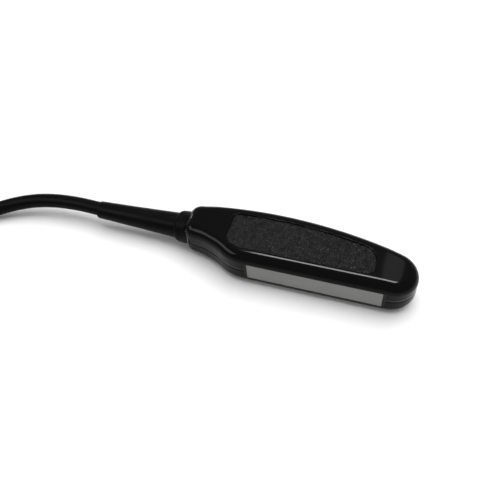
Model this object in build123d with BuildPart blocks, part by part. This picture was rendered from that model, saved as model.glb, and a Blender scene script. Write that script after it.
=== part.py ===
"""Endorectal linear-array ultrasound probe with its cable and plug, in millimetres.

The probe lies on its lower grip face: +X points from the cable to the nose, the
acoustic window faces -Y and +Z is up. The origin is under the middle of the probe.
"""

import math
import os

from build123d import *

os.makedirs("parts", exist_ok=True)

# Housing
thickness = 20.0
edge_radius = 4.9
wall = 2.0
window_length = 64.0
neck_length = 37.0
lens_drop = 18.9
back_rise = 13.3
neck_half_width = 9.25
neck_end_radius = 4.2
end_wall = 5.0
neck_land = 1.2
flare_land = 1.0
flare_inflection = 0.65
nose_radius = 11.5
nose_land = 2.4
nose_side_radius = 75.0
nose_side_length = 17.0
panel_rim = 0.7
panel_depth = 0.8
panel_lead = 13.5
panel_nose_margin = 19.5
panel_neck_corner = 5.0
panel_nose_lens_corner = 4.0
panel_nose_back_corner = 9.0
lip_height = 1.2
fit_gap = 0.1

# Acoustic stack
lens_width = 9.9
lens_thickness = 1.4
matching_thickness = 0.5
element_count = 64
element_kerf = 0.15
element_thickness = 0.6
frame_end = 1.5
frame_wall = 0.9
frame_depth = 11.0
flex_thickness = 0.25
backing_depth = 7.2

# Interconnect
board_thickness = 1.2
board_width = 10.6
board_gap = 0.5
flex_start = 4.0
flex_end = 10.0
flex_connector_depth = 4.0
inductor_size = (2.0, 2.6, 1.8)
inductor_pitch = 4.0
inductor_edge = 1.2
board_screw_gap = 3.2
board_screw_inset = 2.8
board_screw_radius = 0.8
board_screw_length = 5.0
board_screw_head_radius = 1.5
board_screw_head_height = 1.1
board_post_radius = 2.2

# Cable entry
cable_radius = 3.75
collar_length = 6.5
collar_radius = 8.3
collar_boot_bevel = 1.2
collar_housing_bevel = 0.6
spigot_radius = 6.0
seal_width = 1.1
seal_depth = 1.1
socket_radius = 5.0
socket_depth = 3.0
boot_length = 44.4
boot_root_radius = 6.7
boot_tip_radius = 4.6
boot_hollow = 0.1
clamp_gap = 1.2
clamp_length = 5.0
clamp_strap = 0.75
clamp_ear = 2.0
clamp_screw_radius = 0.7
clamp_screw_length = 4.0
clamp_screw_head_radius = 1.1
clamp_screw_head_height = 0.9
ferrule_gap = 0.3
ferrule_length = 4.0
ferrule_wall = 0.65
cable_stub = 1.0
core_radius = 3.2

# Stored cable and plug
tie_thickness = 1.0
tie_width = 8.0
hank_run = 58.0
hank_fold_radius = 22.5
hank_turns_wide = 2
hank_turns_high = 3
hank_right = -236.0
hank_middle = 12.0
hank_lead_in = 25.0
lead_straight = 18.0
hank_climb_start = 18.0
tie_start = 6.0
tail_length = 33.0
plug_height = 12.0
plug_width = 28.0
plug_length = 34.0
plug_corner = 2.5
plug_rear_bevel = 1.2
plug_boot_length = 18.0
plug_boot_depth = 6.5
plug_boot_root_radius = 5.6
plug_boot_tip_radius = 4.6
plate_thickness = 1.6
plate_margin = 1.0
tongue_width = 20.0
tongue_height = 5.0
tongue_length = 9.0
contact_count = 16
contact_pitch = 1.15
contact_width = 0.6
contact_height = 0.25
contact_length = 7.0

# Datums
middle_z = thickness / 2
probe_length = collar_length + neck_length + window_length + nose_land + nose_radius
collar_x = -probe_length / 2
neck_x = collar_x + collar_length
window_x0 = neck_x + neck_length
window_x1 = window_x0 + window_length
nose_x = window_x1 + nose_land
tip_x = nose_x + nose_radius
lens_y = -(lens_drop + back_rise) / 2
axis_y = lens_y + lens_drop
back_y = axis_y + back_rise
neck_y = axis_y - neck_half_width
cavity_x = neck_x + end_wall
cable_axis = Axis((0, axis_y, middle_z), (1, 0, 0))
axis_plane = Plane(origin=(0, axis_y, middle_z), x_dir=(1, 0, 0), z_dir=(0, -1, 0))
bore_radius = cable_radius + fit_gap

# Plan outline: the lens side is straight, the back is one long arc, the nose joins both
nose_y = lens_y + nose_radius


def back_arc():
    """Radius and apex X of the back: through the neck's corner, topping at back_y, tangent to the nose.

    With h and k the back's falls to the neck's corner and to the nose's centre, and m = k - nose_radius,
    the apex is sqrt(2 R h - h^2) past the neck and q = sqrt(2 R m - m (nose_radius + k)) short of the
    nose's centre. The two add up to the length between them, which gives a quadratic in q.
    """
    neck_fall = back_rise - neck_half_width
    nose_fall = back_y - nose_y
    margin = nose_fall - nose_radius
    length = nose_x - neck_x
    lead = 1 - neck_fall / margin
    rest = length**2 - neck_fall * (nose_radius + nose_fall - neck_fall)
    apex_to_nose = (length - math.sqrt(length**2 - lead * rest)) / lead
    radius = (apex_to_nose**2 / margin + nose_radius + nose_fall) / 2
    return radius, nose_x - apex_to_nose


back_radius, apex_x = back_arc()
back_centre_y = back_y - back_radius
nose_angle = math.atan2(nose_y - back_centre_y, nose_x - apex_x)
nose_back = (
    apex_x + back_radius * math.cos(nose_angle),
    back_centre_y + back_radius * math.sin(nose_angle),
)
flare_start = (neck_x + neck_land, neck_y)
flare_end = (window_x0 - frame_end - flare_land, lens_y)
flare_middle = tuple(a + flare_inflection * (b - a) for a, b in zip(flare_start, flare_end))


def back_line(x):
    """Height of the back arc over the plan's X axis."""
    return back_centre_y + math.sqrt(back_radius**2 - (x - apex_x) ** 2)


def plan_face(inset=0.0):
    """Sketch of the housing's plan outline, moved inwards by inset."""
    neck_back = (neck_x, back_line(neck_x))
    with BuildSketch() as plan:
        with BuildLine():
            Line((neck_x, neck_y), flare_start)
            concave = TangentArc(flare_start, flare_middle, tangent=(1, 0))
            TangentArc(flare_middle, flare_end, tangent=concave % 1)
            Line(flare_end, (nose_x, lens_y))
            TangentArc((nose_x, lens_y), nose_back, tangent=(1, 0))
            ThreePointArc(nose_back, (apex_x, back_y), neck_back)
            Line(neck_back, (neck_x, neck_y))
        make_face()
        if inset:
            offset(amount=-inset, kind=Kind.INTERSECTION)
    return plan.sketch


def side_face():
    """Sketch of the side profile, thinner towards the nose."""
    arc_start = tip_x - nose_side_length
    arc_end = tip_x + nose_land
    drop = nose_side_radius - math.sqrt(nose_side_radius**2 - (arc_end - arc_start) ** 2)
    with BuildSketch() as side:
        with BuildLine():
            Line((neck_x, 0), (arc_start, 0))
            TangentArc((arc_start, 0), (arc_end, drop), tangent=(1, 0))
            Line((arc_end, drop), (arc_end, thickness - drop))
            TangentArc((arc_start, thickness), (arc_end, thickness - drop), tangent=(1, 0))
            Line((arc_start, thickness), (neck_x, thickness))
            Line((neck_x, thickness), (neck_x, 0))
        make_face()
    return side.sketch


def panel_face():
    """Sketch of a grip panel: the plan inside its rounded edge, cut off at both ends."""
    start = window_x0 - panel_lead
    end = tip_x - panel_nose_margin
    with BuildSketch() as panel:
        add(plan_face(edge_radius + panel_rim))
        with Locations(((start + end) / 2, 0)):
            Rectangle(end - start, 2 * (back_y - lens_y), mode=Mode.INTERSECT)
        fillet(panel.vertices().group_by(Axis.X)[0], radius=panel_neck_corner)
        nose_corners = panel.vertices().group_by(Axis.X)[-1].sort_by(Axis.Y)
        fillet(nose_corners[0], radius=panel_nose_lens_corner)
        back_corner = panel.vertices().group_by(Axis.X)[-1].sort_by(Axis.Y)[-1]
        fillet(back_corner, radius=panel_nose_back_corner)
    return panel.sketch


def band(x0, x1, y0, y1, mode=Mode.ADD):
    """Rectangle between two corners in the active sketch."""
    with Locations(((x0 + x1) / 2, (y0 + y1) / 2)):
        Rectangle(x1 - x0, y1 - y0, mode=mode)


def block(x0, x1, y0, y1, z0, z1, mode=Mode.ADD):
    """Box between two corners in the active part."""
    with Locations(((x0 + x1) / 2, (y0 + y1) / 2, (z0 + z1) / 2)):
        Box(x1 - x0, y1 - y0, z1 - z0, mode=mode)


def arc_radii(points):
    """Radius of the arc at each inner point of a cable route."""
    corners = [Vector(*point) for point in points]
    radii = []
    for before, corner, after in zip(corners, corners[1:], corners[2:]):
        arriving, leaving = corner - before, after - corner
        half_turn = math.radians(arriving.get_angle(leaving)) / 2
        radii.append(0.45 * min(arriving.length, leaving.length) / math.tan(half_turn))
    return radii


def save(part, name):
    """Label a finished piece and write its STEP file."""
    part.label = name
    export_step(part, f"parts/{name}.step")


# Places that several pieces share
clamp_x0 = cavity_x + clamp_gap
clamp_x1 = clamp_x0 + clamp_length
ferrule_x0 = clamp_x1 + ferrule_gap
ferrule_x1 = ferrule_x0 + ferrule_length
cable_x = ferrule_x1 + cable_stub
clamp_half_width = neck_half_width - wall - fit_gap
clamp_strap_radius = bore_radius + clamp_strap
clamp_screw_y = (clamp_strap_radius + clamp_half_width) / 2
lens_top = lens_width / 2
frame_x0 = window_x0 - frame_end
frame_x1 = window_x1 + frame_end
cavity_end = frame_x1 + wall
stack_top = lens_top - frame_wall - fit_gap / 2
backing_top = stack_top - flex_thickness
outer_layer_y = lens_y + lens_thickness
inner_layer_y = outer_layer_y + matching_thickness
element_y = inner_layer_y + matching_thickness
flex_y = element_y + element_thickness
backing_y = flex_y + flex_thickness
flex_x0 = window_x0 + flex_start
flex_x1 = window_x1 - flex_end
flex_length = flex_x1 - flex_x0
flex_x = (flex_x0 + flex_x1) / 2
board_screw_x0 = flex_x0 - board_screw_gap
board_screw_x1 = flex_x1 + board_screw_gap
board_x0 = board_screw_x0 - board_screw_inset
board_x1 = board_screw_x1 + board_screw_inset
board_y0 = lens_y + frame_depth + board_gap
board_y1 = board_y0 + board_width
board_y = (board_y0 + board_y1) / 2
board_top = board_thickness / 2
connector_y0 = board_y0 + board_gap
connector_y1 = connector_y0 + flex_connector_depth
board_screw_places = [(board_screw_x0, board_y), (board_screw_x1, board_y)]
clamp_screw_places = [
    ((clamp_x0 + clamp_x1) / 2, axis_y - clamp_screw_y),
    ((clamp_x0 + clamp_x1) / 2, axis_y + clamp_screw_y),
]

# Closed hollow housing, before it is parted into two shells. The nose stays solid, and the
# cavity narrows in a step where the outer edge is rounded, so that the wall never thins.
with BuildPart() as housing:
    with BuildSketch():
        add(plan_face())
    extrude(amount=thickness)
    with BuildSketch(Plane.XZ):
        add(side_face())
    extrude(amount=2 * back_radius, both=True, mode=Mode.INTERSECT)
    rims = housing.edges().filter_by(Axis.Z, reverse=True).filter_by(Axis.Y, reverse=True)
    fillet(rims, radius=edge_radius)
    fillet(housing.faces().sort_by(Axis.X)[0].edges(), radius=neck_end_radius)
    for inset, roof in ((wall, edge_radius), (edge_radius, wall)):
        with BuildSketch(Plane.XY.offset(roof)):
            add(plan_face(inset))
            band(cavity_x, cavity_end, lens_y, back_y, mode=Mode.INTERSECT)
        extrude(amount=thickness - 2 * roof, mode=Mode.SUBTRACT)
    with BuildSketch(Plane.XY.offset(thickness)):
        add(panel_face())
    extrude(amount=-panel_depth, mode=Mode.SUBTRACT)
    with BuildSketch():
        add(panel_face())
    extrude(amount=panel_depth, mode=Mode.SUBTRACT)


def cut_openings():
    """Cut the acoustic window and the cable bore out of the active shell."""
    window_top = lens_top + fit_gap
    block(
        frame_x0 - fit_gap,
        frame_x1 + fit_gap,
        lens_y - wall,
        lens_y + 2 * wall,
        middle_z - window_top,
        middle_z + window_top,
        mode=Mode.SUBTRACT,
    )
    with Locations(Location((neck_x + end_wall / 2, axis_y, middle_z), (0, 90, 0))):
        Cylinder(spigot_radius + fit_gap, 2 * end_wall, mode=Mode.SUBTRACT)


# Upper shell, with the rebate that the lower shell's lip enters
with BuildPart() as upper_shell:
    add(housing.part)
    split(bisect_by=Plane.XY.offset(middle_z), keep=Keep.TOP)
    with BuildSketch(Plane.XY.offset(middle_z)):
        add(plan_face((wall - fit_gap) / 2))
        add(plan_face(wall + fit_gap), mode=Mode.SUBTRACT)
    extrude(amount=lip_height + fit_gap, mode=Mode.SUBTRACT)
    cut_openings()
save(upper_shell.part, "upper_shell")

# Lower shell, with its lip, the board posts and the cradle under the cable
with BuildPart() as lower_shell:
    add(housing.part)
    split(bisect_by=Plane.XY.offset(middle_z), keep=Keep.BOTTOM)
    with BuildSketch(Plane.XY.offset(middle_z)):
        add(plan_face((wall + fit_gap) / 2))
        add(plan_face(wall), mode=Mode.SUBTRACT)
    extrude(amount=lip_height)
    cut_openings()
    post_top = middle_z - board_top
    with BuildSketch(Plane.XY.offset(wall - fit_gap)):
        with Locations(*board_screw_places):
            Circle(board_post_radius)
    extrude(amount=post_top - wall + fit_gap)
    with Locations(*[(x, y, post_top) for x, y in board_screw_places]):
        Hole(board_screw_radius + fit_gap / 2, depth=board_screw_length)
    with BuildSketch(Plane.YZ.offset(clamp_x0)):
        band(axis_y - clamp_half_width, axis_y + clamp_half_width, wall - fit_gap, middle_z)
        with Locations((axis_y, middle_z)):
            Circle(bore_radius, mode=Mode.SUBTRACT)
    extrude(amount=clamp_length)
    with Locations(*[(x, y, middle_z) for x, y in clamp_screw_places]):
        Hole(clamp_screw_radius + fit_gap / 2, depth=clamp_screw_length)
save(lower_shell.part, "lower_shell")

# Acoustic stack, from the window inwards
with BuildPart() as acoustic_lens:
    block(window_x0, window_x1, lens_y, outer_layer_y, middle_z - lens_top, middle_z + lens_top)
save(acoustic_lens.part, "acoustic_lens")

with BuildPart() as array_frame:
    block(frame_x0, frame_x1, lens_y, lens_y + frame_depth, middle_z - lens_top, middle_z + lens_top)
    block(window_x0, window_x1, lens_y, outer_layer_y, 0, thickness, mode=Mode.SUBTRACT)
    opening_top = lens_top - frame_wall
    block(
        window_x0,
        window_x1,
        lens_y,
        lens_y + frame_depth,
        middle_z - opening_top,
        middle_z + opening_top,
        mode=Mode.SUBTRACT,
    )
save(array_frame.part, "array_frame")


def stack_layer(y0, y1, top):
    """Slab of the acoustic stack between two depths in the active part."""
    edge = fit_gap / 2
    block(window_x0 + edge, window_x1 - edge, y0, y1, middle_z - top, middle_z + top)


with BuildPart() as outer_matching_layer:
    stack_layer(outer_layer_y, inner_layer_y, stack_top)
save(outer_matching_layer.part, "outer_matching_layer")

with BuildPart() as inner_matching_layer:
    stack_layer(inner_layer_y, element_y, stack_top)
save(inner_matching_layer.part, "inner_matching_layer")

element_pitch = window_length / element_count
with BuildPart() as piezo_elements:
    with BuildSketch(Plane.XZ.offset(-element_y)):
        with Locations(((window_x0 + window_x1) / 2, middle_z)):
            with GridLocations(element_pitch, 1, element_count, 1):
                Rectangle(element_pitch - element_kerf, 2 * stack_top)
    extrude(amount=-element_thickness)
save(piezo_elements.part, "piezo_elements")

with BuildPart() as signal_flex:
    with BuildSketch(Plane.YZ.offset(flex_x0)):
        band(flex_y, connector_y1, middle_z - stack_top, middle_z + stack_top)
        band(backing_y, connector_y1, middle_z - backing_top, middle_z + backing_top, mode=Mode.SUBTRACT)
    extrude(amount=flex_length)
save(signal_flex.part, "signal_flex")

with BuildPart() as backing_block:
    stack_layer(backing_y, backing_y + backing_depth, backing_top)
save(backing_block.part, "backing_block")

# Interconnect board with its connectors, inductors and screws
with BuildPart() as interconnect_board:
    block(board_x0, board_x1, board_y0, board_y1, middle_z - board_top, middle_z + board_top)
    with Locations(*[(x, y, middle_z + board_top) for x, y in board_screw_places]):
        Hole(board_screw_radius + fit_gap)
save(interconnect_board.part, "interconnect_board")

with BuildPart() as flex_connectors:
    with BuildSketch(Plane.YZ.offset(flex_x0)):
        band(connector_y0, connector_y1, middle_z + board_top, middle_z + backing_top)
        band(connector_y0, connector_y1, middle_z - backing_top, middle_z - board_top)
    extrude(amount=flex_length)
save(flex_connectors.part, "flex_connectors")

inductor_length, inductor_width, inductor_height = inductor_size
with BuildPart() as tuning_inductors:
    inductor_y = board_y1 - inductor_edge - inductor_width / 2
    inductor_z = board_top + inductor_height / 2
    inductor_count = int(flex_length // inductor_pitch)
    with Locations((flex_x, inductor_y, middle_z + inductor_z), (flex_x, inductor_y, middle_z - inductor_z)):
        with GridLocations(inductor_pitch, 1, inductor_count, 1):
            Box(inductor_length, inductor_width, inductor_height)
save(tuning_inductors.part, "tuning_inductors")


def screws(places, seat_z, radius, length, head_radius, head_height):
    """Pan-head screws standing in the active part, with their heads on seat_z."""
    for x, y in places:
        with Locations((x, y, seat_z - length / 2)):
            Cylinder(radius, length)
        with Locations((x, y, seat_z + head_height / 2)):
            Cylinder(head_radius, head_height)


with BuildPart() as board_screws:
    screws(
        board_screw_places,
        middle_z + board_top,
        board_screw_radius,
        board_screw_length,
        board_screw_head_radius,
        board_screw_head_height,
    )
save(board_screws.part, "board_screws")

# Cable entry
with BuildPart() as coax_bundle:
    with BuildSketch(Plane.YZ.offset(cable_x)):
        with Locations((axis_y, middle_z)):
            Circle(core_radius)
    extrude(amount=board_x0 - cable_x)
save(coax_bundle.part, "coax_bundle")

with BuildPart() as shield_ferrule:
    with BuildSketch(axis_plane):
        band(ferrule_x0, ferrule_x1, bore_radius, bore_radius + ferrule_wall)
    revolve(axis=cable_axis)
save(shield_ferrule.part, "shield_ferrule")

with BuildPart() as cable_clamp:
    with BuildSketch(Plane.YZ.offset(clamp_x0)):
        with Locations((axis_y, middle_z)):
            Circle(clamp_strap_radius)
        band(axis_y - clamp_half_width, axis_y + clamp_half_width, middle_z, middle_z + clamp_ear)
        with Locations((axis_y, middle_z)):
            Circle(bore_radius, mode=Mode.SUBTRACT)
        band(axis_y - clamp_half_width, axis_y + clamp_half_width, 0, middle_z, mode=Mode.SUBTRACT)
    extrude(amount=clamp_length)
    with Locations(*[(x, y, middle_z + clamp_ear) for x, y in clamp_screw_places]):
        Hole(clamp_screw_radius + fit_gap)
save(cable_clamp.part, "cable_clamp")

with BuildPart() as clamp_screws:
    screws(
        clamp_screw_places,
        middle_z + clamp_ear,
        clamp_screw_radius,
        clamp_screw_length,
        clamp_screw_head_radius,
        clamp_screw_head_height,
    )
save(clamp_screws.part, "clamp_screws")

spigot_end = cavity_x - fit_gap
groove_x = neck_x + end_wall / 2
groove_half = (seal_width + fit_gap) / 2
groove_radius = spigot_radius - seal_depth - fit_gap / 2
with BuildPart() as neck_collar:
    with BuildSketch(axis_plane) as collar_profile:
        band(collar_x, neck_x, bore_radius, collar_radius)
        boot_corner = collar_profile.vertices().group_by(Axis.X)[0].sort_by(Axis.Y)[-1]
        chamfer(boot_corner, length=collar_boot_bevel)
        housing_corner = collar_profile.vertices().group_by(Axis.X)[-1].sort_by(Axis.Y)[-1]
        chamfer(housing_corner, length=collar_housing_bevel)
        band(neck_x, spigot_end, bore_radius, spigot_radius)
        band(collar_x, collar_x + socket_depth, bore_radius, socket_radius, mode=Mode.SUBTRACT)
        band(groove_x - groove_half, groove_x + groove_half, groove_radius, spigot_radius, mode=Mode.SUBTRACT)
    revolve(axis=cable_axis)
save(neck_collar.part, "neck_collar")

with BuildPart() as neck_seal:
    with BuildSketch(axis_plane):
        seal_half = seal_width / 2
        band(groove_x - seal_half, groove_x + seal_half, spigot_radius - seal_depth, spigot_radius)
    revolve(axis=cable_axis)
save(neck_seal.part, "neck_seal")


def taper(tip, root):
    """Side of a boot in the active line, from tip to root and slightly hollow."""
    Spline(tip, ((tip[0] + root[0]) / 2, (tip[1] + root[1]) / 2 - boot_hollow), root)


boot_tip_x = collar_x - boot_length
boot_spigot = socket_radius - fit_gap
boot_seat_x = collar_x + socket_depth - fit_gap
with BuildPart() as strain_relief_boot:
    with BuildSketch(axis_plane):
        with BuildLine():
            taper((boot_tip_x, boot_tip_radius), (collar_x, boot_root_radius))
            Polyline(
                (collar_x, boot_root_radius),
                (collar_x, boot_spigot),
                (boot_seat_x, boot_spigot),
                (boot_seat_x, bore_radius),
                (boot_tip_x, bore_radius),
                (boot_tip_x, boot_tip_radius),
            )
        make_face()
    revolve(axis=cable_axis)
save(strain_relief_boot.part, "strain_relief_boot")

# Stored cable: a hank of stacked turns past the left end, lying on the table
cable_pitch = 2 * cable_radius
hank_left = hank_right - hank_run
hank_x = (hank_left + hank_right) / 2
hank_top = tie_thickness + hank_turns_high * cable_pitch
hank_inner = hank_fold_radius - cable_radius
hank_outer = hank_inner + hank_turns_wide * cable_pitch
hank_near_y = hank_middle - hank_outer + cable_radius
lead_z = tie_thickness + cable_radius
lead_end_x = hank_right + hank_lead_in
tail_y = hank_middle + hank_fold_radius
plug_z = hank_top + plug_height / 2
last_turn_top = plug_z + cable_radius

lead_route = [
    (cable_x, axis_y, middle_z),
    (-122.0, axis_y, middle_z),
    (-150.0, 3.2, 6.2),
    (-175.0, -12.7, 3.9),
    (lead_end_x + lead_straight, hank_near_y, lead_z),
    (lead_end_x, hank_near_y, lead_z),
]

with BuildPart() as cable:
    lead_radii = arc_radii(lead_route)
    with BuildLine() as lead_path:
        FilletPolyline(*lead_route, radius=lead_radii)
    with BuildSketch(Plane(origin=lead_path.line @ 0, z_dir=lead_path.line % 0)):
        Circle(cable_radius)
    sweep()
save(cable.part, "cable")

with BuildPart() as cable_hank:
    with BuildSketch(Plane.XY.offset(tie_thickness)):
        with Locations((hank_x, hank_middle)):
            SlotCenterToCenter(hank_run, 2 * hank_outer)
            SlotCenterToCenter(hank_run, 2 * hank_inner, mode=Mode.SUBTRACT)
    extrude(amount=hank_top - tie_thickness)
    with BuildSketch(Plane.YZ.offset(hank_right)):
        with Locations((hank_near_y, lead_z)):
            Circle(cable_radius)
    extrude(amount=hank_lead_in)
    with BuildSketch(Plane.XY.offset(hank_top)):
        with Locations((hank_left, hank_middle)):
            Circle(hank_inner + cable_pitch)
            Circle(hank_inner, mode=Mode.SUBTRACT)
        band(hank_left, hank_right, hank_middle - hank_outer, hank_middle + hank_outer, mode=Mode.SUBTRACT)
    extrude(amount=last_turn_top - hank_top)
    with BuildSketch(Plane.XZ.offset(hank_fold_radius - hank_middle)):
        with BuildLine():
            Polyline(
                (hank_left, hank_top),
                (hank_right - hank_climb_start, hank_top),
                (hank_left, last_turn_top),
                close=True,
            )
        make_face()
    extrude(amount=cable_radius, both=True)
save(cable_hank.part, "cable_hank")

with BuildPart() as cable_tail:
    with BuildSketch(Plane.YZ.offset(hank_left)):
        with Locations((tail_y, plug_z)):
            Circle(cable_radius)
    extrude(amount=tail_length)
save(cable_tail.part, "cable_tail")

with BuildPart() as hank_tie:
    with BuildSketch(Plane.YZ.offset(hank_right - tie_start - tie_width)):
        near_y0 = hank_middle - hank_outer
        near_y1 = hank_middle - hank_inner
        band(near_y0 - tie_thickness, near_y1 + tie_thickness, 0, hank_top + tie_thickness)
        band(near_y0, near_y1, tie_thickness, hank_top, mode=Mode.SUBTRACT)
    extrude(amount=tie_width)
save(hank_tie.part, "hank_tie")

# Plug at the far end, lying on the hank
tail_x = hank_left + tail_length
plug_boot_x = tail_x - plug_boot_depth
plug_x0 = plug_boot_x + plug_boot_length
plug_x1 = plug_x0 + plug_length
plate_x1 = plug_x1 + plate_thickness
plug_axis = Axis((0, tail_y, plug_z), (1, 0, 0))

with BuildPart() as plug_boot:
    with BuildSketch(Plane(origin=(0, tail_y, plug_z), x_dir=(1, 0, 0), z_dir=(0, -1, 0))):
        with BuildLine():
            taper((plug_boot_x, plug_boot_tip_radius), (plug_x0, plug_boot_root_radius))
            Polyline(
                (plug_x0, plug_boot_root_radius),
                (plug_x0, 0),
                (tail_x + fit_gap, 0),
                (tail_x + fit_gap, bore_radius),
                (plug_boot_x, bore_radius),
                (plug_boot_x, plug_boot_tip_radius),
            )
        make_face()
    revolve(axis=plug_axis)
save(plug_boot.part, "plug_boot")

with BuildPart() as plug_housing:
    with BuildSketch(Plane.YZ.offset(plug_x0)):
        with Locations((tail_y, plug_z)):
            RectangleRounded(plug_width, plug_height, plug_corner)
    extrude(amount=plug_length)
    chamfer(plug_housing.faces().sort_by(Axis.X)[0].edges(), length=plug_rear_bevel)
save(plug_housing.part, "plug_housing")

with BuildPart() as plug_plate:
    with BuildSketch(Plane.YZ.offset(plug_x1)):
        with Locations((tail_y, plug_z)):
            plate_width = plug_width - 2 * plate_margin
            plate_height = plug_height - 2 * plate_margin
            RectangleRounded(plate_width, plate_height, plug_corner - plate_margin)
    extrude(amount=plate_thickness)
save(plug_plate.part, "plug_plate")

with BuildPart() as plug_tongue:
    with BuildSketch(Plane.YZ.offset(plate_x1)):
        with Locations((tail_y, plug_z)):
            Rectangle(tongue_width, tongue_height)
    extrude(amount=tongue_length)
save(plug_tongue.part, "plug_tongue")

with BuildPart() as plug_contacts:
    contact_x = plate_x1 + contact_length / 2
    contact_z = (tongue_height + contact_height) / 2
    with Locations((contact_x, tail_y, plug_z + contact_z), (contact_x, tail_y, plug_z - contact_z)):
        with GridLocations(1, contact_pitch, 1, contact_count):
            Box(contact_length, contact_width, contact_height)
save(plug_contacts.part, "plug_contacts")

print("cable bend radii, mm:", [round(radius, 1) for radius in lead_radii])
tube_ratio = cable.part.volume / (math.pi * cable_radius**2 * lead_path.wire().length)
print("cable tube volume over section times length:", round(tube_ratio, 4))
inner_turn = 2 * hank_run + 2 * math.pi * hank_fold_radius
outer_turn = 2 * hank_run + 2 * math.pi * (hank_outer - cable_radius)
last_turn = hank_run + math.pi * hank_fold_radius
full_turns = hank_turns_wide * hank_turns_high - 1
hank_length = hank_lead_in + full_turns * (inner_turn + outer_turn) / 2 + last_turn
free_length = lead_path.wire().length - (cable_x - collar_x) + hank_length + tail_length
print("free cable length, mm:", round(free_length))
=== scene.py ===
"""Looks of a flat linear-array ultrasound probe lying on a white table, with its cable put away in a hank."""
import logging
import math
from collections.abc import Sequence
from dataclasses import dataclass, field
from enum import Enum

import bpy
import numpy as np
from mathutils import Matrix, Vector


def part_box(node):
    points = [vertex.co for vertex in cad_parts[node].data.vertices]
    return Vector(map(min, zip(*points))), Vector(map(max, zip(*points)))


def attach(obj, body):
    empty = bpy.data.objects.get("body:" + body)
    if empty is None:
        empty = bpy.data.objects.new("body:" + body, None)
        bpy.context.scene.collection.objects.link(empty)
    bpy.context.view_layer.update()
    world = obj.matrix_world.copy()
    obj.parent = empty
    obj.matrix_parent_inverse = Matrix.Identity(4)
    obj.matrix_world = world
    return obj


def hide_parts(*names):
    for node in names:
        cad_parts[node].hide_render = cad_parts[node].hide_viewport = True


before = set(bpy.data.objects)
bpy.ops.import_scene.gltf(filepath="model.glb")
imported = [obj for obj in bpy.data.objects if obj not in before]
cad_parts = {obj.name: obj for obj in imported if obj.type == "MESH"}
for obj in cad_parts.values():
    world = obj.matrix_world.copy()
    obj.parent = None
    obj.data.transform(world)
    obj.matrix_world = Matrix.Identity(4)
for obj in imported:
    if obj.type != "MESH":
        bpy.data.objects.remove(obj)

LOG = logging.getLogger("probe")
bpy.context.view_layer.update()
BODY = "root"
MM = 0.001
# The span that a noise texture mostly stays in, and a slight drift about 1
NOISE_SPAN = (0.3, 0.7)
SLIGHT_DRIFT = (0.9, 1.1)
# Upright part of a lamp's direction from which it counts as facing straight down
STRAIGHT_DOWN = 0.999

Array = np.ndarray
Point = tuple[float, float, float]
Tint = tuple[float, float, float]
Colour = tuple[float, float, float, float]
Tree = bpy.types.NodeTree
Socket = bpy.types.NodeSocket
Value = Socket | float | Point


class Half(Enum):
    """The two halves of the housing."""

    UPPER = "upper"
    LOWER = "lower"


class LampUse(Enum):
    """What a lamp is for: lighting surfaces, or showing as a highlight in polished ones."""

    LIGHT = "light"
    GLINT = "glint"


class Texture(Enum):
    """The surface textures that the finishes are made with."""

    MOULDED = "moulded"
    GRIP = "grip"
    WOVEN = "woven"
    BRUSHED = "brushed"


# Mesh helpers


def grid_faces(rows: int, columns: int, closed: bool = True) -> Array:
    """Quads of a grid of rows by columns, numbered row by row.

    Args:
        rows: number of rows of vertices.
        columns: number of vertices in each row.
        closed: True where the last column joins the first.

    Returns:
        Vertex numbers, one row of four for each quad.
    """
    across = columns if closed else columns - 1
    row, column = np.meshgrid(np.arange(rows - 1), np.arange(across), indexing="ij")
    here, beside = column.ravel(), (column.ravel() + 1) % columns
    base = row.ravel() * columns
    return np.stack([base + here, base + beside, base + columns + beside, base + columns + here], axis=1)


def boundary_edges(mesh: bpy.types.Mesh) -> Array:
    """Finds the edges that only one face uses.

    Args:
        mesh: the mesh.

    Returns:
        A mask of its edges.
    """
    used = np.empty(len(mesh.loops), np.int32)
    mesh.loops.foreach_get("edge_index", used)
    return np.bincount(used, minlength=len(mesh.edges)) == 1


def add_object(name: str, data: bpy.types.ID) -> bpy.types.Object:
    """Puts a mesh, curve, lamp or camera into the scene.

    Args:
        name: the object's name.
        data: the mesh, curve, lamp or camera.

    Returns:
        The new object, at the origin.
    """
    new_object = bpy.data.objects.new(name, data)
    bpy.context.scene.collection.objects.link(new_object)
    return new_object


def make_piece(name: str, points: Array, faces: Sequence[Array]) -> bpy.types.Object:
    """Puts a surface into a smooth mesh object that rides on the body.

    Args:
        name: the piece's name.
        points: vertices in metres, one row of three each.
        faces: vertex numbers of each face, facing outwards.

    Returns:
        The new object, with its open edges marked sharp.
    """
    mesh = bpy.data.meshes.new(name)
    mesh.from_pydata(points.tolist(), [], [list(map(int, face)) for face in faces])
    mesh.validate()
    mesh.polygons.foreach_set("use_smooth", np.ones(len(mesh.polygons), bool))
    sharp = mesh.attributes.new("sharp_edge", "BOOLEAN", "EDGE")
    sharp.data.foreach_set("value", boundary_edges(mesh))
    mesh.update()
    piece = add_object(name, mesh)
    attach(piece, BODY)
    return piece


def turned(name: str, profile: Array, axis: Vector, steps: int = 72) -> bpy.types.Object:
    """Turns a closed profile about a line parallel to X.

    A point is (x, axis y - r cos t, axis z + r sin t), with x and r from the profile and t from 0 to a full
    turn.

    Args:
        name: the piece's name.
        profile: rows of x and radius, running round the section once without repeating its first point.
        axis: a point on the axis.
        steps: points round the turn.

    Returns:
        The new object.
    """
    turn = np.linspace(0.0, 2 * np.pi, steps, endpoint=False)
    x = np.repeat(profile[:, :1], steps, axis=1)
    y = axis.y - profile[:, 1:] * np.cos(turn)
    z = axis.z + profile[:, 1:] * np.sin(turn)
    points = np.stack([x, y, z], axis=-1).reshape(-1, 3)
    faces = grid_faces(len(profile) + 1, steps) % len(points)
    return make_piece(name, points, faces[:, ::-1])


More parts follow.
